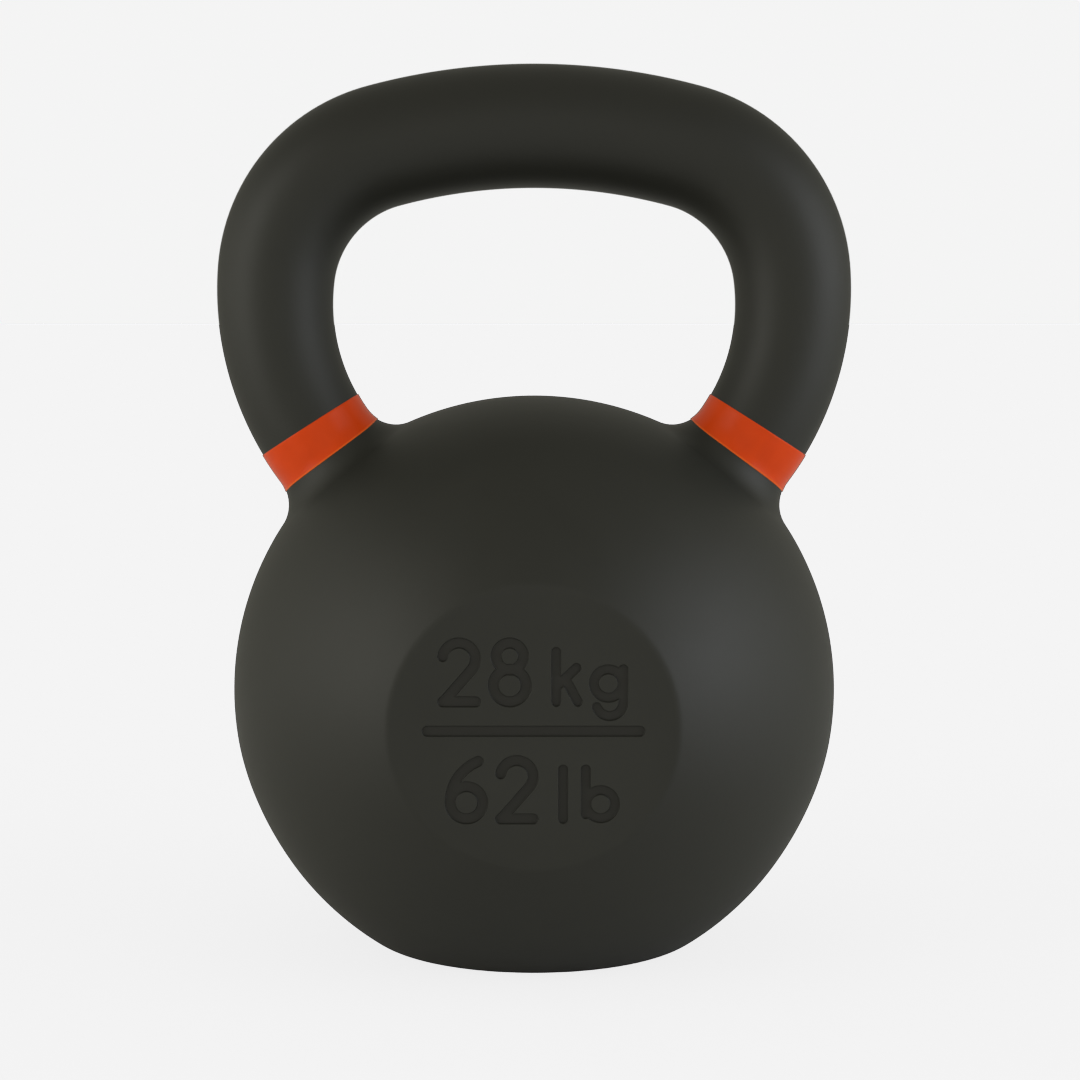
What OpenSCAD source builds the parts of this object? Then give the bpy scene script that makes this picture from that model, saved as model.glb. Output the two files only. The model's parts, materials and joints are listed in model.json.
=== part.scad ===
// Kettlebell: a ball with a flat base and a flat marked face, two horns that
// rise from its crown, a round grip between them and a colour band on each horn.
// Origin at the centre of the base, +Z up, grip along X, marked face towards -Y.

/* [Bell] */
// Radius of the ball
ball_r = 95.5; // [94:0.5:97]
// Height of the ball's centre above the base
ball_h = 81; // [78:0.5:84]
// Radius of the rounding between ball and base
base_edge_r = 14; // [6:0.5:16]
// Height of the crown above the ball's centre
crown_h = 93.2; // [92.4:0.1:94]
// Radius of the flatter arc over the crown
crown_r = 99; // [98:0.5:101]
// Radius of the flat marked face
face_r = 42; // [36:0.5:46]

/* [Handle] */
// Height of the grip's centreline above the base
grip_h = 259; // [256:0.5:262]
// Diameter of the grip
grip_d = 38.6; // [36:0.2:40]
// Diameter of the horns at their feet
horn_d = 35.4; // [33:0.2:36]
// Radius of the long arch along the grip's centreline
arch_r = 184; // [170:1:200]
// Angle of the arch on each side of the middle
arch_a = 15; // [13:0.5:17]
// Radius of the corners of the handle
corner_r = 46; // [44:0.5:48]
// Angle that each corner turns through
corner_a = 69; // [66:0.5:71]
// Radius of the sides, which lean in to the ball
side_r = 79; // [76:0.5:82]
// Length of each horn that keeps the grip's diameter
full_l = 10; // [0:1:20]
// Length over which each horn then tapers to its foot
taper_l = 90; // [70:1:100]
// Radius of the fillet where a horn grows out of the ball
root_r = 11; // [9:0.5:13]

/* [Bands] */
// Width of a band along the horn
band_w = 12; // [8:0.5:16]
// Thickness of a band
band_t = 0.5; // [0.4:0.1:0.8]

/* [Weight mark] */
// Depth of the engraving
mark_depth = 0.8; // [0.4:0.1:1.5]
// Width of the strokes of the figures
mark_w = 3; // [2:0.1:3.2]
// Width of the strokes of the units
unit_w = 2.7; // [2:0.1:2.9]

/* [Hidden] */
$fn = 96;

coat = "#3a3b37";
band_colour = "#bf4218";

// Ball: the crown's arc is centred below the ball's own centre
crown_z = ball_h + crown_h - crown_r;
face_y = -sqrt(pow(ball_r, 2) - pow(face_r, 2));

// The rounding at the base is inside the ball and touches both
base_ring_r = sqrt(pow(ball_r - base_edge_r, 2) - pow(ball_h - base_edge_r, 2));
base_edge_h = base_edge_r * (1 - (ball_h - base_edge_r) / (ball_r - base_edge_r));

// Handle centreline, as [x, z] and heading below the horizontal
corner_end_a = arch_a + corner_a;
arch_c = [0, grip_h - arch_r];
corner_c = arch_c + (arch_r - corner_r) * away(arch_a);
side_c = corner_c + (corner_r - side_r) * away(corner_end_a);

// Each horn ends where its centreline points at the centre of the crown's arc
to_side = side_c - [0, crown_z];
seat_dist = sqrt(pow(norm(to_side), 2) - pow(side_r, 2));
root_a = 90 - atan2(to_side[1], to_side[0]) + asin(side_r / norm(to_side));
seat_a = 90 + root_a;

// Root fillet: it reaches slightly into the ball, so the two surfaces cross
root_bite = 0.4;
fillet_x = horn_d / 2 + root_r;
fillet_z = sqrt(pow(crown_r - root_bite + root_r, 2) - pow(fillet_x, 2));
foot_x = fillet_x * crown_r / (crown_r + root_r);
root_depth = 30;

// Horn sweep
horn_sides = 40;
corner_steps = 12;
side_steps = 14;
corner_l = corner_a * PI / 180 * corner_r;

// Round end of a stroke: it reaches this angle to each side of the stroke's heading
end_a = 75;

// Direction from an arc's centre to its centreline, at a heading
function away(a) = [sin(a), cos(a)];

// Smooth step from 0 to 1
function ease(t) = (1 - cos(180 * min(max(t, 0), 1))) / 2;

// Radius of a horn at a distance along it from the grip
function horn_r(s) = grip_d / 2 - (grip_d - horn_d) / 2 * ease((s - full_l) / taper_l);

// One ring of a horn, square to its centreline
function ring(c, r_arc, a, s) = [
    for (i = [0:horn_sides - 1])
        let (t = 360 * i / horn_sides, p = c + (r_arc + horn_r(s) * cos(t)) * away(a))
            [p[0], horn_r(s) * sin(t), p[1]]
];

// All the points of a horn, from the grip down to its seat on the ball
function horn_points() = concat(
    [for (i = [0:corner_steps])
        let (a = arch_a + corner_a * i / corner_steps)
            each ring(corner_c, corner_r, a, corner_l * i / corner_steps)],
    [for (i = [1:side_steps])
        let (a = corner_end_a + (seat_a - corner_end_a) * i / side_steps)
            each ring(side_c, side_r, a, corner_l + (a - corner_end_a) * PI / 180 * side_r)]
);

// The faces between the rings, and the two round ends
function horn_faces() =
    let (n = horn_sides, last = (corner_steps + side_steps) * n)
    concat(
        [[for (i = [0:n - 1]) n - 1 - i]],
        [for (k = [0:n:last - n], i = [0:n - 1]) [k + i, k + (i + 1) % n, k + n + (i + 1) % n, k + n + i]],
        [[for (i = [0:n - 1]) last + i]]
    );

// Turns a drawing in X and Y up into the plane of the handle
module upright() {
    rotate([90, 0, 0]) children();
}

// A stretch of round bar, or of the ring r_in to r_out, bent about c between two headings
module bent_bar(c, r_arc, a_from, a_to, r_out, r_in = 0) {
    translate([c[0], 0, c[1]])
        upright()
            rotate([0, 0, 90 - a_to])
                rotate_extrude(angle = a_to - a_from)
                    translate([r_arc, 0])
                        difference() {
                            circle(r_out);
                            if (r_in > 0) circle(r_in);
                        }
}

// The ball's half outline, with its centre at the origin
module ball_outline() {
    difference() {
        intersection() {
            circle(ball_r, $fn = 180);
            translate([0, crown_z - ball_h]) circle(crown_r, $fn = 180);
            translate([0, -ball_h]) square([ball_r + 1, 2 * ball_r + ball_h]);
        }
        // The corner at the base, down to the base's rounding
        difference() {
            translate([base_ring_r, -ball_h]) square([ball_r, base_edge_h]);
            translate([base_ring_r, base_edge_r - ball_h]) circle(base_edge_r);
        }
    }
}

// The filleted root of one horn, along the line from the crown's centre
module root() {
    translate([0, 0, crown_z])
        rotate([0, root_a, 0])
            rotate_extrude()
                difference() {
                    translate([0, crown_r - root_depth]) square([foot_x, seat_dist - crown_r + root_depth]);
                    translate([fillet_x, fillet_z]) circle(root_r);
                }
}

// Points along an arc
function arc(c, r, a_from, a_to, n = 14) = [
    for (i = [0:n]) let (a = a_from + (a_to - a_from) * i / n) c + r * [cos(a), sin(a)]
];

// Which way a path runs at its point i, in degrees
function heading(path, i) =
    let (d = path[min(i + 1, len(path) - 1)] - path[max(i - 1, 0)]) atan2(d[1], d[0]);

// A stroke of one width along a path, with round ends
module stroke(path, w) {
    last = len(path) - 1;
    side = [for (i = [0:last]) let (a = heading(path, i)) w / 2 * [-sin(a), cos(a)]];
    polygon(concat(
        [for (i = [0:last]) path[i] + side[i]],
        arc(path[last], w / 2, heading(path, last) + end_a, heading(path, last) - end_a, 5),
        [for (i = [last:-1:0]) path[i] - side[i]],
        arc(path[0], w / 2, heading(path, 0) - 180 + end_a, heading(path, 0) - 180 - end_a, 5)
    ));
}

// A round stroke that closes on itself
module loop(c, r, w) {
    translate(c)
        difference() {
            circle(r + w / 2, $fn = 64);
            circle(r - w / 2, $fn = 64);
        }
}

// Figures: 9.4 wide and 17 high along the middle of the stroke
module figure_two() {
    stroke(concat(arc([4.7, 12.3], 4.7, 170, -36), [[0.5, 0.6]]), mark_w);
    stroke([[0, 0], [9.4, 0]], mark_w);
}

module figure_six() {
    loop([4.7, 4.7], 4.7, mark_w);
    stroke(arc([13, 4.7], 13, 112, 170), mark_w);
}

module figure_eight() {
    loop([4.7, 4.7], 4.7, mark_w);
    loop([4.7, 13.1], 3.9, mark_w);
}

// Units: small letters on the same line as the figures
module unit_kg() {
    stroke([[0, 0], [0, 14.4]], unit_w);
    stroke([[0.7, 5], [5.8, 9.8]], unit_w);
    stroke([[2.9, 6.2], [6.2, 0]], unit_w);
    loop([14.9, 5.3], 4.1, unit_w);
    stroke(concat([[19.2, 9.4]], arc([15.3, -0.2], 3.9, 0, -160)), unit_w);
}

module unit_lb() {
    stroke([[0, 0], [0, 14.4]], unit_w);
    stroke([[6.5, 1.4], [6.5, 14.4]], unit_w);
    loop([10.8, 4.3], 4.1, unit_w);
}

// The whole mark about the face's centre, as read from the front
module weight_mark() {
    stroke([[-30.5, 0], [30.5, 0]], mark_w);
    translate([-26, 8.5]) figure_two();
    translate([-11.5, 8.5]) figure_eight();
    translate([6.5, 8.5]) unit_kg();
    translate([-24, -25.5]) figure_six();
    translate([-9.5, -25.5]) figure_two();
    translate([8.5, -25.5]) unit_lb();
}

module bell() {
    color(coat)
        difference() {
            union() {
                translate([0, 0, ball_h]) rotate_extrude($fn = 180) ball_outline();
                root();
                mirror([1, 0, 0]) root();
            }
            translate([-ball_r, face_y - ball_r, 0]) cube([2 * ball_r, ball_r, 2 * ball_h]);
            translate([0, face_y + mark_depth, ball_h])
                upright() linear_extrude(2 * mark_depth) weight_mark();
        }
}

module grip() {
    color(coat) bent_bar(arch_c, arch_r, -arch_a, arch_a, grip_d / 2);
}

module right_horn() {
    color(coat) polyhedron(horn_points(), horn_faces(), convexity = 4);
}

module left_horn() {
    mirror([1, 0, 0]) right_horn();
}

module right_band() {
    band_a = band_w / side_r * 180 / PI;
    color(band_colour)
        bent_bar(side_c, side_r, seat_a - band_a, seat_a, horn_d / 2 + band_t, horn_d / 2);
}

module left_band() {
    mirror([1, 0, 0]) right_band();
}

bell();
grip();
left_horn();
right_horn();
left_band();
right_band();
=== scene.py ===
import json
import math

import bmesh
import bpy
import numpy as np
from mathutils import Matrix, Vector

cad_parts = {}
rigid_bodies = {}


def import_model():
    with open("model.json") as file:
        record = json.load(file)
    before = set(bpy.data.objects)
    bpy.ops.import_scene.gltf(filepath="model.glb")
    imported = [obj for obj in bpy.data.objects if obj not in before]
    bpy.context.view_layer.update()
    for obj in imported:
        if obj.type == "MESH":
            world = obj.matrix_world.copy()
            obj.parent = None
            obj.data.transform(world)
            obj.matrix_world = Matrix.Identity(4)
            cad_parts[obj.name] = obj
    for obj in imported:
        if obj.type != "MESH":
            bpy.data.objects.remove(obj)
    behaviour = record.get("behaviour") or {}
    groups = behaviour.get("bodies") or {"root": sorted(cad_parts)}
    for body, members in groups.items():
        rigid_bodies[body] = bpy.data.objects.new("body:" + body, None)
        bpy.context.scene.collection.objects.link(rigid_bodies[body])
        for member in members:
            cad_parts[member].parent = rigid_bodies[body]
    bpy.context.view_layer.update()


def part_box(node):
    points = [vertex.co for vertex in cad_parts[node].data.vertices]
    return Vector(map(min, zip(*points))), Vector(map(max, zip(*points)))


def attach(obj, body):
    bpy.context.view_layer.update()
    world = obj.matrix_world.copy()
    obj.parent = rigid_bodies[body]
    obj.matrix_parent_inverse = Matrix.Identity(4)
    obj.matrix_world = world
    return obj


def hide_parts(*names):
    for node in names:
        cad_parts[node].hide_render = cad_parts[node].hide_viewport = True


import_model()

# A cast iron kettlebell. Everything is drawn in millimetres and turned into metres at the end.
mm = 0.001
bellLow, bellHigh = (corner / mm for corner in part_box("bell"))
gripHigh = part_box("grip")[1] / mm
print("frame: bell", [round(x, 1) for x in bellHigh - bellLow], "mm")
print("frame: top of the grip", round(gripHigh.z, 1), "mm")


# the shape that every vertex of the casting settles on

ball = {
    "radius": 95.5,
    "centreHeight": 81.0,
    "crownRadius": 99.0,      # flatter arc over the top
    "crownTop": 174.2,
    "crownBlend": 0.4,
    "baseEdge": 14.0,         # rounding round the flat base
    "slim": 0.65,             # the casting draws in this much towards its base
    "slimFrom": 68.0,
    "slimTo": 30.0,
    "faceEdge": 5.0,          # rounding round the flat marked face
}
facePlane = bellLow.y
ballCentre = np.array([0, 0, ball["centreHeight"]])
crownCentre = np.array([0, 0, ball["crownTop"] - ball["crownRadius"]])

handle = {
    "gripRadius": 19.3,
    "footRadius": 17.7,
    "archRadius": 184.0,
    "archAngle": 15.0,
    "cornerRadius": 46.0,
    "cornerAngle": 69.0,
    "sideRadius": 79.0,
    "fullLength": 10.0,       # the horns keep the grip's thickness this far
    "taperLength": 90.0,
    "rootFillet": 11.0,
}


def away(angle):
    return np.array([math.sin(angle), math.cos(angle)])


def layOutHandle():
    # arcs of the centreline in X and Z, each as centre, radius, first and last heading,
    # and distance from the middle
    h = handle
    archEnd = math.radians(h["archAngle"])
    cornerEnd = archEnd + math.radians(h["cornerAngle"])
    archC = np.array([0, gripHigh.z - h["gripRadius"] - h["archRadius"]])
    cornerC = archC + (h["archRadius"] - h["cornerRadius"]) * away(archEnd)
    sideC = cornerC + (h["cornerRadius"] - h["sideRadius"]) * away(cornerEnd)
    toSide = sideC - crownCentre[[0, 2]]
    reach = np.linalg.norm(toSide)
    seatDistance = math.sqrt(reach**2 - h["sideRadius"] ** 2)
    rootAngle = math.pi / 2 - math.atan2(toSide[1], toSide[0]) + math.asin(h["sideRadius"] / reach)
    sideEnd = math.pi / 2 + rootAngle
    archLength = archEnd * h["archRadius"]
    cornerLength = (cornerEnd - archEnd) * h["cornerRadius"]
    arcs = [
        (archC, h["archRadius"], 0.0, archEnd, 0.0),
        (cornerC, h["cornerRadius"], archEnd, cornerEnd, archLength),
        (sideC, h["sideRadius"], cornerEnd, sideEnd, archLength + cornerLength),
    ]
    length = archLength + cornerLength + (sideEnd - cornerEnd) * h["sideRadius"]
    return arcs, length, rootAngle, seatDistance


arcs, halfLength, rootAngle, seatDistance = layOutHandle()
archLength = arcs[1][4]


def barRadius(distance):
    t = np.clip((distance - archLength - handle["fullLength"]) / handle["taperLength"], 0, 1)
    thinner = handle["gripRadius"] - handle["footRadius"]
    return handle["gripRadius"] - thinner * (1 - np.cos(math.pi * t)) / 2


def roundedEdge(a, b, cosine, radius):
    # where two surfaces cross, their edge is rolled over with one radius
    u, v = a + radius, b + radius
    spread = np.maximum(1 - cosine**2, 1e-6)
    onEdge = (u > cosine * v) & (v > cosine * u)
    across = np.sqrt(np.maximum((u * u + v * v - 2 * cosine * u * v) / spread, 0))
    return np.where(onEdge, across - radius, np.maximum(a, b))


def ballSkin(p):
    fromBall, fromCrown = p - ballCentre, p - crownCentre
    ballReach, crownReach = np.linalg.norm(fromBall, axis=1), np.linalg.norm(fromCrown, axis=1)
    low = np.clip((ball["slimFrom"] - p[:, 2]) / (ball["slimFrom"] - ball["slimTo"]), 0, 1)
    a = ballReach - ball["radius"] + ball["slim"] * low * low * (3 - 2 * low)
    b = crownReach - ball["crownRadius"]
    soft = np.maximum(ball["crownBlend"] - abs(a - b), 0)
    skin = np.maximum(a, b) + soft**2 / ball["crownBlend"] / 4
    skin = roundedEdge(skin, -p[:, 2], -fromBall[:, 2] / ballReach, ball["baseEdge"])
    skin = roundedEdge(skin, facePlane - p[:, 1], -fromBall[:, 1] / ballReach, ball["faceEdge"])
    return skin, fromCrown / crownReach[:, None]


def handleSkin(p):
    q = np.stack([abs(p[:, 0]), p[:, 2]], axis=1)
    best = np.full(len(p), 1e9)
    nearest, distance = np.zeros_like(q), np.zeros(len(p))
    for centre, radius, first, last, start in arcs:
        angle = np.clip(np.arctan2(q[:, 0] - centre[0], q[:, 1] - centre[1]), first, last)
        point = centre + radius * np.stack([np.sin(angle), np.cos(angle)], axis=1)
        gap = np.linalg.norm(q - point, axis=1)
        closer = gap < best
        best[closer], nearest[closer] = gap[closer], point[closer]
        distance[closer] = start + (angle[closer] - first) * radius
    along = np.clip((q - crownCentre[[0, 2]]) @ away(rootAngle), 0, seatDistance)
    point = crownCentre[[0, 2]] + along[:, None] * away(rootAngle)
    gap = np.linalg.norm(q - point, axis=1)
    closer = gap < best
    best[closer], nearest[closer], distance[closer] = gap[closer], point[closer], halfLength
    offset = np.stack([q[:, 0] - nearest[:, 0], p[:, 1], q[:, 1] - nearest[:, 1]], axis=1)
    offset[:, 0] *= np.where(p[:, 0] < 0, -1, 1)
    reach = np.maximum(np.linalg.norm(offset, axis=1), 1e-6)
    return reach - barRadius(distance), offset / reach[:, None]


def castingSkin(p):
    onBall, ballWay = ballSkin(p)
    onHandle, handleWay = handleSkin(p)
    cosine = (ballWay * handleWay).sum(axis=1)
    return -roundedEdge(-onBall, -onHandle, cosine, handle["rootFillet"])


flattest = 0.3  # a slope below this counts as this, so that no vertex leaps


def settle(verts, rounds=5, nudge=0.01):
    p = np.array([v.co for v in verts])
    for _ in range(rounds):
        rise = [castingSkin(p + step) - castingSkin(p - step) for step in nudge * np.eye(3)]
        slope = np.stack(rise, axis=1) / 2 / nudge
        p -= (castingSkin(p) / np.maximum((slope**2).sum(axis=1), flattest))[:, None] * slope
    for vert, place in zip(verts, p):
        vert.co = place


# the casting

casting = {
    "slices": 150,            # round the axis from the face to the back
    "ringStep": 2.5,
    "firstRing": 27.5,        # degrees from the middle of the face
    "faceRings": (43.08, 41.95, 40.82, 40.0),
    "rootBlock": 12,          # faces along each side of the hole a horn grows from
    "rootMiddle": 40.8,       # degrees from straight up
    "barSides": 48,
    "barSteps": 82,
    "footGap": 3.0,           # the fillet starts this far above the seat
    "filletCuts": 5,
    "rootZone": 40.0,         # a root's open edge lies this near the handle's plane
    "relaxReach": 52.0,
    "relaxRounds": 14,
    "lastReach": 46.8,        # and again once the cage is divided
    "lastRounds": 4,
    "weld": 0.001,
    "sharp": 22,              # edges above this angle stay crisp, in degrees
}


def spinBall(bm):
    first = math.radians(casting["firstRing"])
    centre = Vector(ballCentre)
    rim = bm.verts.new(centre + ball["radius"] * Vector((0, -math.cos(first), math.sin(first))))
    steps = round((180 - casting["firstRing"]) / casting["ringStep"])
    bmesh.ops.spin(bm, geom=[rim], cent=centre, axis=(-1, 0, 0), angle=math.pi - first, steps=steps)
    for radius in casting["faceRings"]:
        rim = bmesh.ops.extrude_vert_indiv(bm, verts=[rim])["verts"][0]
        rim.co = (0, facePlane, centre.z + radius)
    bmesh.ops.spin(
        bm, geom=bm.verts[:] + bm.edges[:], cent=centre, axis=(0, 1, 0),
        angle=2 * math.pi, steps=casting["slices"], use_merge=True,
    )
    bmesh.ops.remove_doubles(bm, verts=bm.verts, dist=casting["weld"])


def openRoots(bm):
    half = casting["rootBlock"] / 2
    width, depth = half * 360 / casting["slices"], half * casting["ringStep"]
    block = []
    for face in bm.faces:
        way = face.calc_center_median() - Vector(ballCentre)
        turn = math.degrees(math.atan2(abs(way.x), way.z))
        tip = math.degrees(math.acos(-way.y / way.length))
        if abs(turn - casting["rootMiddle"]) < width and abs(tip - 90) < depth:
            block.append(face)
    bmesh.ops.delete(bm, geom=block, context="FACES")


def handleFrame(distance):
    # a place on the centreline, with local Z along it and scaled to the bar's radius
    side = -1 if distance < 0 else 1
    for centre, radius, first, last, start in reversed(arcs):
        if abs(distance) >= start:
            angle = first + (abs(distance) - start) / radius
            break
    x, z = centre + radius * away(angle)
    out = Vector((side * math.sin(angle), 0, math.cos(angle)))
    along = Vector((math.cos(angle), 0, -side * math.sin(angle)))
    turn = Matrix((Vector((0, 1, 0)), out, along)).transposed().to_4x4()
    return Matrix.Translation((side * x, 0, z)) @ turn @ Matrix.Scale(barRadius(abs(distance)), 4)


def extrudeBar(bm):
    reach = halfLength - casting["footGap"]
    stops = np.linspace(-reach, reach, casting["barSteps"] + 1)
    frames = [handleFrame(stop) for stop in stops]
    sides = casting["barSides"]
    ring = bmesh.ops.create_circle(bm, segments=sides, radius=1, matrix=frames[0])["verts"]
    ringEdges = list({edge for vert in ring for edge in vert.link_edges})
    ends = [ringEdges]
    for before, after in zip(frames, frames[1:]):
        grown = bmesh.ops.extrude_edge_only(bm, edges=ringEdges)["geom"]
        ring = [g for g in grown if isinstance(g, bmesh.types.BMVert)]
        ringEdges = [g for g in grown if isinstance(g, bmesh.types.BMEdge)]
        ringEdges = [e for e in ringEdges if all(v in set(ring) for v in e.verts)]
        bmesh.ops.transform(bm, matrix=after @ before.inverted(), verts=ring)
    return ends + [ringEdges]


def joinRoots(bm, barEnds):
    for side, barEnd in zip((-1, 1), barEnds):
        barEnd = list(barEnd)
        inBar = set(barEnd)
        hole = [
            e for e in bm.edges
            if e.is_boundary and e not in inBar and e.verts[0].co.x * side > 1
            and abs(e.verts[0].co.y) < casting["rootZone"]
        ]
        bridged = bmesh.ops.bridge_loops(bm, edges=hole + barEnd)
        rungs = [e for e in bridged["edges"] if e not in inBar]
        bmesh.ops.subdivide_edges(bm, edges=rungs, cuts=casting["filletCuts"], use_grid_fill=True)


def nearRoots(bm, reach):
    root = crownCentre[[0, 2]] + seatDistance * away(rootAngle)
    return [
        v for v in bm.verts
        if math.dist((abs(v.co.x), v.co.y, v.co.z), (root[0], 0, root[1])) < reach and not v.is_boundary
    ]


def relax(bm, reach, rounds):
    loose = nearRoots(bm, reach)
    for _ in range(rounds):
        bmesh.ops.smooth_vert(
            bm, verts=loose, factor=0.5, use_axis_x=True, use_axis_y=True, use_axis_z=True
        )
        settle(loose, rounds=3)


def castShape():
    bm = bmesh.new()
    spinBall(bm)
    openRoots(bm)
    barEnds = extrudeBar(bm)
    joinRoots(bm, barEnds)
    openEdges = sum(e.is_boundary for e in bm.edges)
    print("casting: joined cage of", len(bm.faces), "faces, open edges", openEdges)
    settle(bm.verts[:])
    relax(bm, casting["relaxReach"], casting["relaxRounds"])
    bmesh.ops.subdivide_edges(bm, edges=bm.edges[:], cuts=1, use_grid_fill=True)
    settle(bm.verts[:])
    relax(bm, casting["lastReach"], casting["lastRounds"])
    rim = [e for e in bm.edges if e.is_boundary]
    bmesh.ops.contextual_create(bm, geom=rim)
    bmesh.ops.recalc_face_normals(bm, faces=bm.faces)
    return bm


# the engraved weight mark: round strokes drawn with a pen, from the middle of the face

mark = {
    "depth": 0.8,
    "reach": 38.0,            # every stroke lies this near the middle of the face
    "figureWidth": 3.0,
    "unitWidth": 2.7,
    "clear": 0.3,             # the cutter stands this far off the face
    "flare": 0.5,             # and is this much wider there, which rounds the engraving's rim
    "steps": ((0.43, 0.36), (0.05, 0.12), (0.10, 0.54), (0.10, 0.08)),
    "arcStep": 9.0,
    "weld": 0.002,
    "onEnd": 0.01,            # a vertex this near a stroke's end is on it
}

# Each stroke has a start, a heading, then lengths of line and (radius, angle) arcs.
# A loop has a centre and a radius.
figureTwo = (((0.07, 13.12), 80, ((4.7, -211), 11.4)), ((0, 0), 0, (9.4,)))
figureEight = (("loop", (4.7, 4.7), 4.7), ("loop", (4.7, 13.1), 3.9))
figureSix = (("loop", (4.7, 4.7), 4.7), ((8.13, 16.75), 202, ((13, 58),)))
unitKg = (
    ((0, 0), 90, (14.4,)), ((0.7, 5), 43.3, (7.0,)), ((2.9, 6.2), -62, (7.0,)),
    ("loop", (14.9, 5.3), 4.1), ((19.2, 9.4), -90, (9.6, (3.9, -160))),
)
unitLb = (((0, 0), 90, (14.4,)), ((6.5, 1.4), 90, (13,)), ("loop", (10.8, 4.3), 4.1))
bar = (((0, 0), 0, (61,)),)
layout = (
    ((-26, 8.5), figureTwo, "figureWidth"),
    ((-11.5, 8.5), figureEight, "figureWidth"),
    ((6.5, 8.5), unitKg, "unitWidth"),
    ((-30.5, 0), bar, "figureWidth"),
    ((-24, -25.5), figureSix, "figureWidth"),
    ((-9.5, -25.5), figureTwo, "figureWidth"),
    ((8.5, -25.5), unitLb, "unitWidth"),
)


def penSpin(bm, geom, centre, angle):
    steps = max(2, round(abs(angle) / mark["arcStep"]))
    done = bmesh.ops.spin(
        bm, geom=geom, cent=centre, axis=(0, -1, 0), angle=math.radians(angle), steps=steps,
        use_merge=abs(angle) >= 360,
    )
    return done["geom_last"]


def drawStroke(bm, corner, stroke, width):
    # the stroke's flat outline, in front of the face
    y = facePlane - mark["clear"]

    def place(x, z):
        return Vector((corner[0] + x, y, ball["centreHeight"] + corner[1] + z))

    half = width / 2 + mark["flare"]
    if stroke[0] == "loop":
        centre = place(*stroke[1])
        pen = [bm.verts.new(centre + Vector((stroke[2] + side * half, 0, 0))) for side in (-1, 1)]
        penSpin(bm, pen + [bm.edges.new(pen)], centre, 360)
        return
    start, heading, moves = stroke
    middle = place(*start)
    left = half * Vector((-math.sin(math.radians(heading)), 0, math.cos(math.radians(heading))))
    pen = [bm.verts.new(middle + side * left) for side in (1, 0, -1)]
    halves = [bm.edges.new(pen[:2]), bm.edges.new(pen[1:])]
    penSpin(bm, pen[:2] + halves[:1], middle, 180)
    geom = pen + halves
    for move in moves:
        if isinstance(move, tuple):
            radius, angle = move
            centre = middle + left.normalized() * math.copysign(radius, angle)
            geom = penSpin(bm, geom, centre, angle)
            turn = Matrix.Rotation(math.radians(angle), 4, (0, -1, 0))
            middle, left = centre + turn @ (middle - centre), turn @ left
        else:
            step = move * Vector((left.z, 0, -left.x)).normalized()
            edges = [g for g in geom if isinstance(g, bmesh.types.BMEdge)]
            geom = bmesh.ops.extrude_edge_only(bm, edges=edges)["geom"]
            atEnd = {v for v in geom if isinstance(v, bmesh.types.BMVert)}
            bmesh.ops.translate(bm, vec=step, verts=list(atEnd))
            middle = middle + step
            geom = list(atEnd) + [
                g for g in geom if isinstance(g, bmesh.types.BMEdge) and all(v in atEnd for v in g.verts)
            ]
    lastHalf = [
        e for e in geom if isinstance(e, bmesh.types.BMEdge)
        and any((v.co - (middle - left)).length < mark["onEnd"] for v in e.verts)
    ]
    penSpin(bm, lastHalf + [v for e in lastHalf for v in e.verts], middle, 180)


def strokeCutter(corner, stroke, width, index):
    bm = bmesh.new()
    drawStroke(bm, corner, stroke, width)
    bmesh.ops.remove_doubles(bm, verts=bm.verts, dist=mark["weld"])
    floor = bm.faces[:]
    bmesh.ops.duplicate(bm, geom=bm.verts[:] + bm.edges[:] + floor)
    for inset, drop in mark["steps"]:
        bmesh.ops.inset_region(
            bm, faces=floor, thickness=inset, use_boundary=True, use_even_offset=True
        )
        floorVerts = list({v for f in floor for v in f.verts})
        bmesh.ops.translate(bm, vec=(0, drop, 0), verts=floorVerts)
    bmesh.ops.remove_doubles(bm, verts=bm.verts, dist=mark["weld"])
    bmesh.ops.recalc_face_normals(bm, faces=bm.faces)
    openEdges = sum(not e.is_manifold for e in bm.edges)
    if openEdges:
        print("  cutter", index, "has", openEdges, "open edges")
    mesh = bpy.data.meshes.new(f"cutter{index}")
    bm.to_mesh(mesh)
    bm.free()
    return bpy.data.objects.new(mesh.name, mesh)


def engrave(piece):
    cutters = bpy.data.collections.new("markCutters")
    bpy.context.scene.collection.children.link(cutters)
    for corner, strokes, width in layout:
        for stroke in strokes:
            cutters.objects.link(strokeCutter(corner, stroke, mark[width], len(cutters.objects)))
    cut = piece.modifiers.new("mark", "BOOLEAN")
    cut.operation, cut.solver = "DIFFERENCE", "EXACT"
    cut.operand_type, cut.collection = "COLLECTION", cutters
    depsgraph = bpy.context.evaluated_depsgraph_get()
    engraved = bpy.data.meshes.new_from_object(piece.evaluated_get(depsgraph))
    piece.modifiers.clear()
    plain, piece.data = piece.data, engraved
    bpy.data.meshes.remove(plain)
    for cutter in list(cutters.objects):
        bpy.data.meshes.remove(cutter.data)
    bpy.data.collections.remove(cutters)


def darkenMark(mesh):
    # the floors of the strokes are painted darker, a painted shade in the engraving's recess
    sunkenShade = mesh.attributes.new("sunkenShade", "FLOAT", "POINT")
    for vert, value in zip(mesh.vertices, sunkenShade.data):
        offMiddle = math.hypot(vert.co.x, vert.co.z - ball["centreHeight"])
        onFace = vert.co.y < 0 and offMiddle < mark["reach"]
        value.value = float(onFace and vert.co.y > facePlane + mark["depth"] / 2)


def showPiece(name, bm):
    mesh = bpy.data.meshes.new(name)
    bm.to_mesh(mesh)
    bm.free()
    piece = bpy.data.objects.new(name, mesh)
    bpy.context.scene.collection.objects.link(piece)
    return piece


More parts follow.
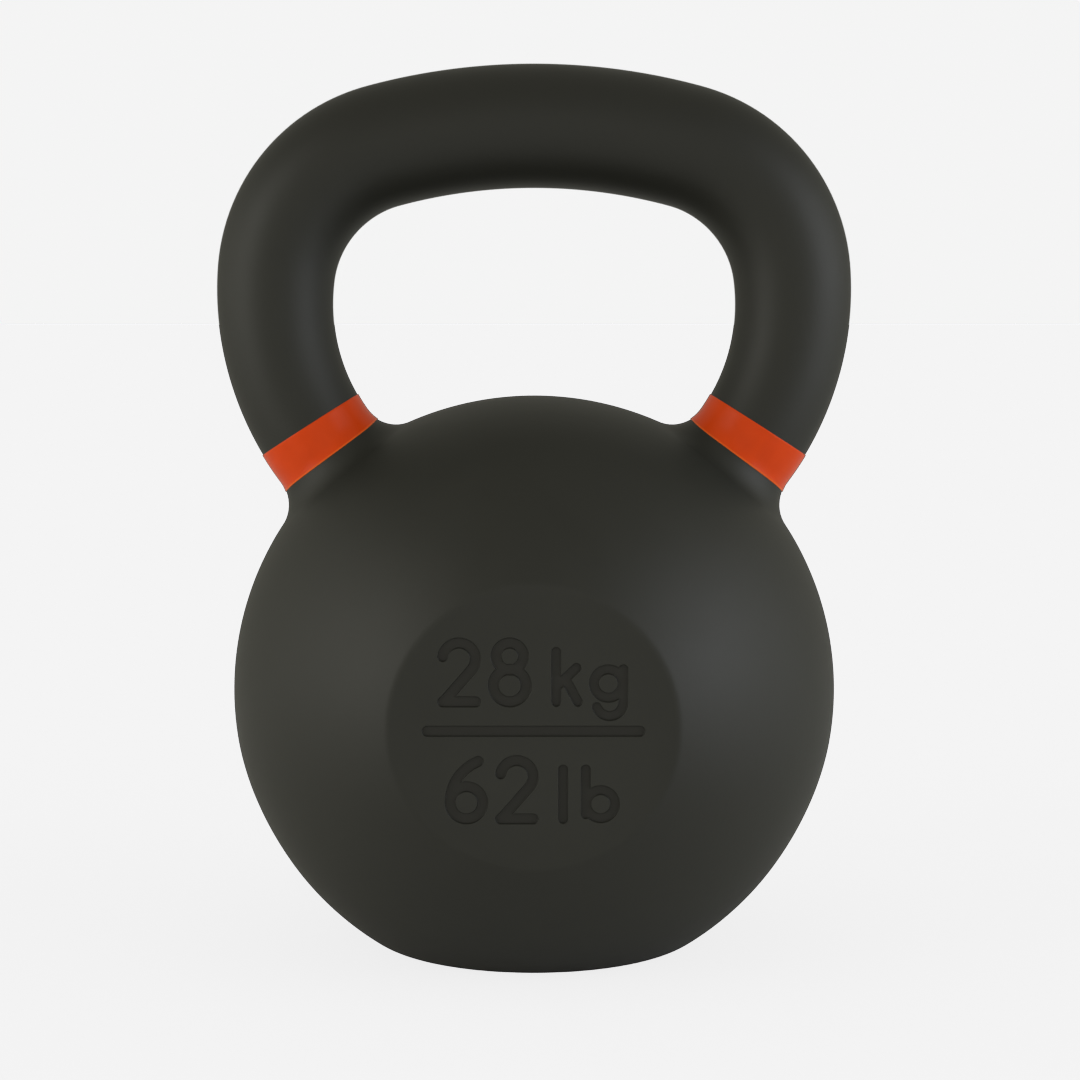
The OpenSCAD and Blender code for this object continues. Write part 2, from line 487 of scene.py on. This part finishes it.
def finishPiece(piece, name, material, sharp, nodes):
    mesh = piece.data
    mesh.name = name
    mesh.transform(Matrix.Scale(mm, 4))
    mesh.shade_smooth()
    mesh.set_sharp_from_angle(angle=math.radians(sharp))
    mesh.materials.clear()
    mesh.materials.append(material)
    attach(piece, "root")
    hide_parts(*nodes)
    mesh.calc_loop_triangles()
    print("piece", name, "has", len(mesh.loop_triangles), "triangles")


# finishes

def addNode(tree, kind, **values):
    node = tree.nodes.new(kind)
    for key, value in values.items():
        if key in node.inputs:
            node.inputs[key].default_value = value
        else:
            setattr(node, key, value)
    return node


def newGroup(name, inputs, outputs):
    group = bpy.data.node_groups.new(name, "ShaderNodeTree")
    for label, kind in inputs:
        group.interface.new_socket(label, in_out="INPUT", socket_type=kind)
    for label, kind in outputs:
        group.interface.new_socket(label, in_out="OUTPUT", socket_type=kind)
    given = group.nodes.new("NodeGroupInput").outputs
    return group, given, group.nodes.new("NodeGroupOutput").inputs


def coatGrainGroup():
    # the height of a sprayed coat: slow orange peel with fine powder grain on it
    group, given, out = newGroup(
        "coatGrain",
        [("Vector", "NodeSocketVector"), ("Peel Scale", "NodeSocketFloat"),
         ("Grain Scale", "NodeSocketFloat"), ("Grain Share", "NodeSocketFloat")],
        [("Height", "NodeSocketFloat"), ("Grain", "NodeSocketFloat")],
    )
    link = group.links.new
    peel = addNode(group, "ShaderNodeTexNoise", Detail=2.0, Roughness=0.5)
    grain = addNode(group, "ShaderNodeTexNoise", Detail=3.0, Roughness=0.65)
    mix = addNode(group, "ShaderNodeMix", data_type="FLOAT")
    link(given["Vector"], peel.inputs["Vector"])
    link(given["Vector"], grain.inputs["Vector"])
    link(given["Peel Scale"], peel.inputs["Scale"])
    link(given["Grain Scale"], grain.inputs["Scale"])
    link(given["Grain Share"], mix.inputs[0])
    link(peel.outputs["Fac"], mix.inputs[2])
    link(grain.outputs["Fac"], mix.inputs[3])
    link(mix.outputs[0], out["Height"])
    link(grain.outputs["Fac"], out["Grain"])
    return group


def toneDriftGroup():
    # a slow change of tone over the surface, from one colour to another
    group, given, out = newGroup(
        "toneDrift",
        [("Vector", "NodeSocketVector"), ("Scale", "NodeSocketFloat"), ("Dark", "NodeSocketColor"),
         ("Light", "NodeSocketColor")],
        [("Color", "NodeSocketColor"), ("Mask", "NodeSocketFloat")],
    )
    link = group.links.new
    slow = addNode(group, "ShaderNodeTexNoise", Detail=4.0, Roughness=0.55, Distortion=0.4)
    spread = addNode(group, "ShaderNodeMapRange")
    spread.inputs["From Min"].default_value, spread.inputs["From Max"].default_value = 0.32, 0.68
    mix = addNode(group, "ShaderNodeMix", data_type="RGBA")
    link(given["Vector"], slow.inputs["Vector"])
    link(given["Scale"], slow.inputs["Scale"])
    link(slow.outputs["Fac"], spread.inputs["Value"])
    link(spread.outputs["Result"], mix.inputs[0])
    link(given["Dark"], mix.inputs[6])
    link(given["Light"], mix.inputs[7])
    link(mix.outputs[2], out["Color"])
    link(spread.outputs["Result"], out["Mask"])
    return group


def scuffGroup():
    # small scuffs that gather below a height, where the object is set down
    group, given, out = newGroup(
        "setDownScuffs",
        [("Vector", "NodeSocketVector"), ("Top", "NodeSocketFloat"), ("Scale", "NodeSocketFloat")],
        [("Mask", "NodeSocketFloat")],
    )
    link = group.links.new
    split = addNode(group, "ShaderNodeSeparateXYZ")
    fade = addNode(group, "ShaderNodeMapRange")
    fade.inputs["To Min"].default_value, fade.inputs["To Max"].default_value = 1.0, 0.0
    spots = addNode(group, "ShaderNodeTexNoise", Detail=5.0, Roughness=0.7)
    pick = addNode(group, "ShaderNodeMapRange")
    pick.inputs["From Min"].default_value, pick.inputs["From Max"].default_value = 0.56, 0.66
    both = addNode(group, "ShaderNodeMath", operation="MULTIPLY")
    link(given["Vector"], split.inputs[0])
    link(split.outputs["Z"], fade.inputs["Value"])
    link(given["Top"], fade.inputs["From Max"])
    link(given["Vector"], spots.inputs["Vector"])
    link(given["Scale"], spots.inputs["Scale"])
    link(spots.outputs["Fac"], pick.inputs["Value"])
    link(fade.outputs["Result"], both.inputs[0])
    link(pick.outputs["Result"], both.inputs[1])
    link(both.outputs[0], out["Mask"])
    return group


coatGrain, toneDrift, setDownScuffs = coatGrainGroup(), toneDriftGroup(), scuffGroup()

coat = {
    "dark": (0.0142, 0.0144, 0.0108, 1),
    "light": (0.0182, 0.0184, 0.0142, 1),
    "scuff": (0.034, 0.034, 0.031, 1),
    # a painted shade for the floors of the engraved strokes
    "sunkenShade": (0.0096, 0.0090, 0.0064, 1),
    # a painted shade on the grip, laid in from the height below upward, where the coat is also a little
    # smoother
    "gripShade": (0.0118, 0.0119, 0.0088, 1),
    "gripShadeFrom": (0.215, 0.250),   # height above the base, in metres
    "heldRoughness": -0.04,
    "roughness": (0.51, 0.60),
    "specular": 0.5,
    "driftScale": 22.0,
    "peelScale": 620.0,
    "grainScale": 2600.0,
    "grainShare": 0.3,
    "bump": 0.16,
    "bumpDepth": 0.00022,
    "scuffTop": 0.0045,
    "scuffScale": 420.0,
}

bandPaint = {
    "dark": (0.77, 0.059, 0.0022, 1),
    "light": (0.86, 0.072, 0.0036, 1),
    # a painted highlight along the band's lower edge
    "rim": (1.0, 0.15, 0.014, 1),
    "roughness": (0.28, 0.36),
    "specular": 0.2,
    "driftScale": 60.0,
    "peelScale": 520.0,
    "grainScale": 2200.0,
    "grainShare": 0.2,
    "bump": 0.12,
    "bumpDepth": 0.0002,
}


grainInRoughness = 0.35  # the rest of the roughness follows the slow drift


def sprayedFinish(name, look):
    material = bpy.data.materials.new(name)
    material.use_nodes = True
    tree = material.node_tree
    link = tree.links.new
    shader = tree.nodes["Principled BSDF"]
    where = addNode(tree, "ShaderNodeTexCoord").outputs["Object"]
    drift = addNode(tree, "ShaderNodeGroup", node_tree=toneDrift)
    drift.inputs["Scale"].default_value = look["driftScale"]
    drift.inputs["Dark"].default_value = look["dark"]
    drift.inputs["Light"].default_value = look["light"]
    link(where, drift.inputs["Vector"])
    grain = addNode(tree, "ShaderNodeGroup", node_tree=coatGrain)
    grain.inputs["Peel Scale"].default_value = look["peelScale"]
    grain.inputs["Grain Scale"].default_value = look["grainScale"]
    grain.inputs["Grain Share"].default_value = look["grainShare"]
    link(where, grain.inputs["Vector"])
    rough = addNode(tree, "ShaderNodeMapRange")
    rough.inputs["To Min"].default_value, rough.inputs["To Max"].default_value = look["roughness"]
    blend = addNode(tree, "ShaderNodeMix", data_type="FLOAT")
    blend.inputs[0].default_value = grainInRoughness
    link(drift.outputs["Mask"], blend.inputs[2])
    link(grain.outputs["Grain"], blend.inputs[3])
    link(blend.outputs[0], rough.inputs["Value"])
    link(rough.outputs["Result"], shader.inputs["Roughness"])
    shader.inputs["Specular IOR Level"].default_value = look["specular"]
    colour = drift.outputs["Color"]
    if "scuff" in look:
        scuffs = addNode(tree, "ShaderNodeGroup", node_tree=setDownScuffs)
        scuffs.inputs["Top"].default_value = look["scuffTop"]
        scuffs.inputs["Scale"].default_value = look["scuffScale"]
        link(where, scuffs.inputs["Vector"])
        worn = addNode(tree, "ShaderNodeMix", data_type="RGBA")
        worn.inputs[7].default_value = look["scuff"]
        link(scuffs.outputs["Mask"], worn.inputs[0])
        link(colour, worn.inputs[6])
        colour = worn.outputs[2]
    if "gripShade" in look:
        # above this height the grip is painted darker, a painted shade, and its coat is a little
        # smoother
        height = addNode(tree, "ShaderNodeSeparateXYZ")
        link(where, height.inputs[0])
        gripShadeMask = addNode(tree, "ShaderNodeMapRange", interpolation_type="SMOOTHSTEP")
        gripShadeMask.inputs["From Min"].default_value = look["gripShadeFrom"][0]
        gripShadeMask.inputs["From Max"].default_value = look["gripShadeFrom"][1]
        link(height.outputs["Z"], gripShadeMask.inputs["Value"])
        dark = addNode(tree, "ShaderNodeMix", data_type="RGBA")
        dark.inputs[7].default_value = look["gripShade"]
        link(gripShadeMask.outputs["Result"], dark.inputs[0])
        link(colour, dark.inputs[6])
        colour = dark.outputs[2]
        smoother = addNode(tree, "ShaderNodeMath", operation="MULTIPLY_ADD")
        smoother.inputs[1].default_value = look["heldRoughness"]
        link(gripShadeMask.outputs["Result"], smoother.inputs[0])
        link(rough.outputs["Result"], smoother.inputs[2])
        link(smoother.outputs[0], shader.inputs["Roughness"])
    # painted highlight on the band's lower edge and painted shade on the engraving's floors, each laid
    # in by a vertex attribute
    for part in ("rim", "sunkenShade"):
        if part in look:
            amount = addNode(tree, "ShaderNodeAttribute", attribute_name=part)
            toned = addNode(tree, "ShaderNodeMix", data_type="RGBA")
            toned.inputs[7].default_value = look[part]
            link(amount.outputs["Fac"], toned.inputs[0])
            link(colour, toned.inputs[6])
            colour = toned.outputs[2]
    link(colour, shader.inputs["Base Color"])
    bump = addNode(tree, "ShaderNodeBump", Strength=look["bump"], Distance=look["bumpDepth"])
    link(grain.outputs["Height"], bump.inputs["Height"])
    link(bump.outputs["Normal"], shader.inputs["Normal"])
    return material


coatFinish = sprayedFinish("powderCoat", coat)
bandFinish = sprayedFinish("orangeBand", bandPaint)
print("finishes: powder coat and orange band")

castingShape = castShape()
castingPiece = showPiece("casting", castingShape)
engrave(castingPiece)
darkenMark(castingPiece.data)
finishPiece(
    castingPiece, "casting", coatFinish, casting["sharp"],
    ("bell", "grip", "left_horn", "right_horn"),
)


# the colour bands, one round the foot of each horn

band = {
    "low": (64.2, 155.4),     # where its lower edge crosses the horn's centreline, in X and Z
    "lowTilt": 36.4,          # and how far that edge's plane leans, in degrees
    "curl": 0.65,             # the lower edge dips this much on the outside and rises as much inside
    "high": (71.1, 165.1),
    "highTilt": 32.6,
    "sides": 120,
    "proud": 0.3,
    "sunk": 0.35,
    "edge": 0.2,
    "rim": 0.7,               # the lower edge is painted a lighter line this wide, a painted highlight
    "edgeSteps": 3,
    "acrossSteps": 9,
    "curlPower": 7,           # how closely the curl keeps to the two sides
    "rounds": 12,
    "sharp": 40,
    "weld": 0.001,
}


def bandOutline():
    # once round the band's thickness, as distance up its width and height off the horn
    width, edge, steps = math.dist(band["low"], band["high"]), band["edge"], band["acrossSteps"]
    turns = [math.radians(90 * i / band["edgeSteps"]) for i in range(band["edgeSteps"] + 1)]
    corner = [(edge * (1 - math.cos(t)), band["proud"] - edge * (1 - math.sin(t))) for t in turns]
    rim = band["rim"]
    top = [(rim + (width - 2 * rim) * i / steps, band["proud"]) for i in range(steps + 1)]
    front = [(0, -band["sunk"])] + corner + top + [(width - u, h) for u, h in corner[::-1]]
    return front + [(width * (1 - i / steps), -band["sunk"]) for i in range(steps + 1)]


def bandPlane(u):
    share = u / math.dist(band["low"], band["high"])
    middle = np.array(band["low"]) * (1 - share) + np.array(band["high"]) * share
    tilt = math.radians(band["lowTilt"] * (1 - share) + band["highTilt"] * share)
    return np.array([middle[0], 0, middle[1]]), np.array([math.cos(tilt), 0, -math.sin(tilt)])


def placeRing(ring, turns, u, height):
    # each vertex slides out along its own spoke until it is the height off the casting
    middle, across = bandPlane(u)
    ways = np.cos(turns)[:, None] * across + np.sin(turns)[:, None] * np.array([0, 1, 0])
    width = math.dist(band["low"], band["high"])
    dip = band["curl"] * (1 - u / width) * np.cos(turns) ** band["curlPower"]
    middle = middle - dip[:, None] * np.cross(np.array([0, 1, 0]), -across)
    reach = np.full(len(ring), handle["footRadius"])
    for _ in range(band["rounds"]):
        here = castingSkin(middle + reach[:, None] * ways) - height
        there = castingSkin(middle + (reach + 0.01)[:, None] * ways) - height
        reach -= here / np.maximum((there - here) / 0.01, flattest)
    for vert, place in zip(ring, middle + reach[:, None] * ways):
        vert.co = place


def bandShape(side):
    bm = bmesh.new()
    # this layer marks where the band's lower edge gets its painted highlight
    rim = bm.verts.layers.float.new("rim")
    ring = bmesh.ops.create_circle(bm, segments=band["sides"], radius=1)["verts"]
    ringEdges = bm.edges[:]
    turns = np.array([math.atan2(v.co.y, v.co.x) for v in ring])
    outline = bandOutline()
    width = math.dist(band["low"], band["high"])
    placeRing(ring, turns, *outline[0])
    for before, after in zip(outline, outline[1:]):
        grown = bmesh.ops.extrude_edge_only(bm, edges=ringEdges)["geom"]
        ring = [g for g in grown if isinstance(g, bmesh.types.BMVert)]
        inRing = set(ring)
        ringEdges = [g for g in grown if isinstance(g, bmesh.types.BMEdge)]
        ringEdges = [e for e in ringEdges if all(v in inRing for v in e.verts)]
        middle, across = bandPlane(before[0])
        spokes = np.array([v.co for v in ring]) - middle
        placeRing(ring, np.arctan2(spokes[:, 1], spokes @ across), *after)
        # vertices near the lower edge take the painted highlight
        for vert in ring:
            vert[rim] = float(after[0] < (band["edge"] + band["rim"]) / 2)
    bmesh.ops.scale(bm, vec=(side, 1, 1), verts=bm.verts)
    bmesh.ops.remove_doubles(bm, verts=bm.verts, dist=band["weld"])
    bmesh.ops.recalc_face_normals(bm, faces=bm.faces)
    return bm


for name, side in (("left_colour_band", -1), ("right_colour_band", 1)):
    piece = showPiece(name, bandShape(side))
    node = name.replace("colour_", "")
    finishPiece(piece, name, bandFinish, band["sharp"], (node,))
    piece.visible_glossy = piece.visible_diffuse = False  # no orange glow on the casting below


# floor, light and camera

studio = {
    "pale": (0.905, 0.905, 0.905, 1),
    "ambient": (1.0, 0.985, 0.84, 1),
    "ambientStrength": 0.385,
    "floorSize": 90.0,
    "floorGlow": 5.0,
    "floorRoughness": 0.9,
    "middle": (0, 0, 0.13),
    "lights": (
        # name, degrees to the side, degrees up, distance, width, height, watts, colour
        ("leftSoftbox", -60, 10, 1.25, 0.65, 0.9, 4.4, (1.0, 0.99, 0.92)),
        ("leftEdge", -96, 10, 1.25, 0.6, 0.9, 1.1, (1.0, 0.99, 0.92)),
        ("rightSoftbox", 65, 10, 1.25, 0.85, 0.9, 5.2, (0.95, 0.99, 1.06)),
        ("rightEdge", 96, 10, 1.25, 0.6, 0.9, 1.2, (0.98, 1.0, 1.0)),
        ("frontFill", 0, 12, 1.5, 1.2, 0.8, 0.8, (1.0, 0.99, 0.92)),
    ),
}


def paleSeenOnly(tree, output, strength):
    # what the camera sees is the pale ground, and what lights the object is dimmer
    seen = addNode(tree, "ShaderNodeLightPath").outputs["Is Camera Ray"]
    pale = addNode(tree, "ShaderNodeBackground", Color=studio["pale"], Strength=1.0)
    dim = addNode(tree, "ShaderNodeBackground", Color=studio["ambient"], Strength=strength)
    mix = addNode(tree, "ShaderNodeMixShader")
    tree.links.new(seen, mix.inputs[0])
    tree.links.new(dim.outputs[0], mix.inputs[1])
    tree.links.new(pale.outputs[0], mix.inputs[2])
    tree.links.new(mix.outputs[0], output.inputs["Surface"])


def setStage():
    scene = bpy.context.scene
    scene.view_settings.view_transform = "Standard"
    scene.view_settings.look = "None"
    world = bpy.data.worlds.new("studio")
    scene.world = world
    world.use_nodes = True
    world.node_tree.nodes.clear()
    output = world.node_tree.nodes.new("ShaderNodeOutputWorld")
    paleSeenOnly(world.node_tree, output, studio["ambientStrength"])

    bm = bmesh.new()
    bmesh.ops.create_grid(bm, x_segments=1, y_segments=1, size=studio["floorSize"] / 2)
    floor = showPiece("floor", bm)
    floor.is_shadow_catcher = True
    paper = bpy.data.materials.new("palePaper")
    paper.use_nodes = True
    tree = paper.node_tree
    shader = tree.nodes["Principled BSDF"]
    shader.inputs["Base Color"].default_value = studio["pale"]
    shader.inputs["Roughness"].default_value = studio["floorRoughness"]
    shader.inputs["Emission Color"].default_value = studio["pale"]
    glow = addNode(tree, "ShaderNodeMath", operation="MULTIPLY")  # seen only, it thins the shadow
    glow.inputs[1].default_value = studio["floorGlow"]
    tree.links.new(addNode(tree, "ShaderNodeLightPath").outputs["Is Camera Ray"], glow.inputs[0])
    tree.links.new(glow.outputs[0], shader.inputs["Emission Strength"])
    floor.data.materials.append(paper)


def addSoftbox(name, turn, rise, distance, width, height, watts, colour):
    light = bpy.data.lights.new(name, "AREA")
    light.shape = "RECTANGLE"
    light.size, light.size_y, light.energy, light.color = width, height, watts, colour
    lamp = bpy.data.objects.new(name, light)
    turn, rise = math.radians(turn), math.radians(rise)
    way = Vector((math.sin(turn) * math.cos(rise), -math.cos(turn) * math.cos(rise), math.sin(rise)))
    lamp.location = Vector(studio["middle"]) + distance * way
    lamp.rotation_euler = (-way).to_track_quat("-Z", "Y").to_euler()
    bpy.context.scene.collection.objects.link(lamp)


viewpoint = {"place": (0.00186, -0.7867, 0.2001), "pitch": -5.22, "lens": 82.45, "sensor": 36.0}


def addCamera():
    camera = bpy.data.cameras.new("camera")
    camera.lens, camera.sensor_width = viewpoint["lens"], viewpoint["sensor"]
    camera.clip_start, camera.clip_end = 0.01, 50
    holder = bpy.data.objects.new("camera", camera)
    holder.location = viewpoint["place"]
    holder.rotation_euler = (math.radians(90 + viewpoint["pitch"]), 0, 0)
    bpy.context.scene.collection.objects.link(holder)
    bpy.context.scene.camera = holder


setStage()
for softbox in studio["lights"]:
    addSoftbox(*softbox)
addCamera()
print("studio:", len(studio["lights"]), "softboxes")
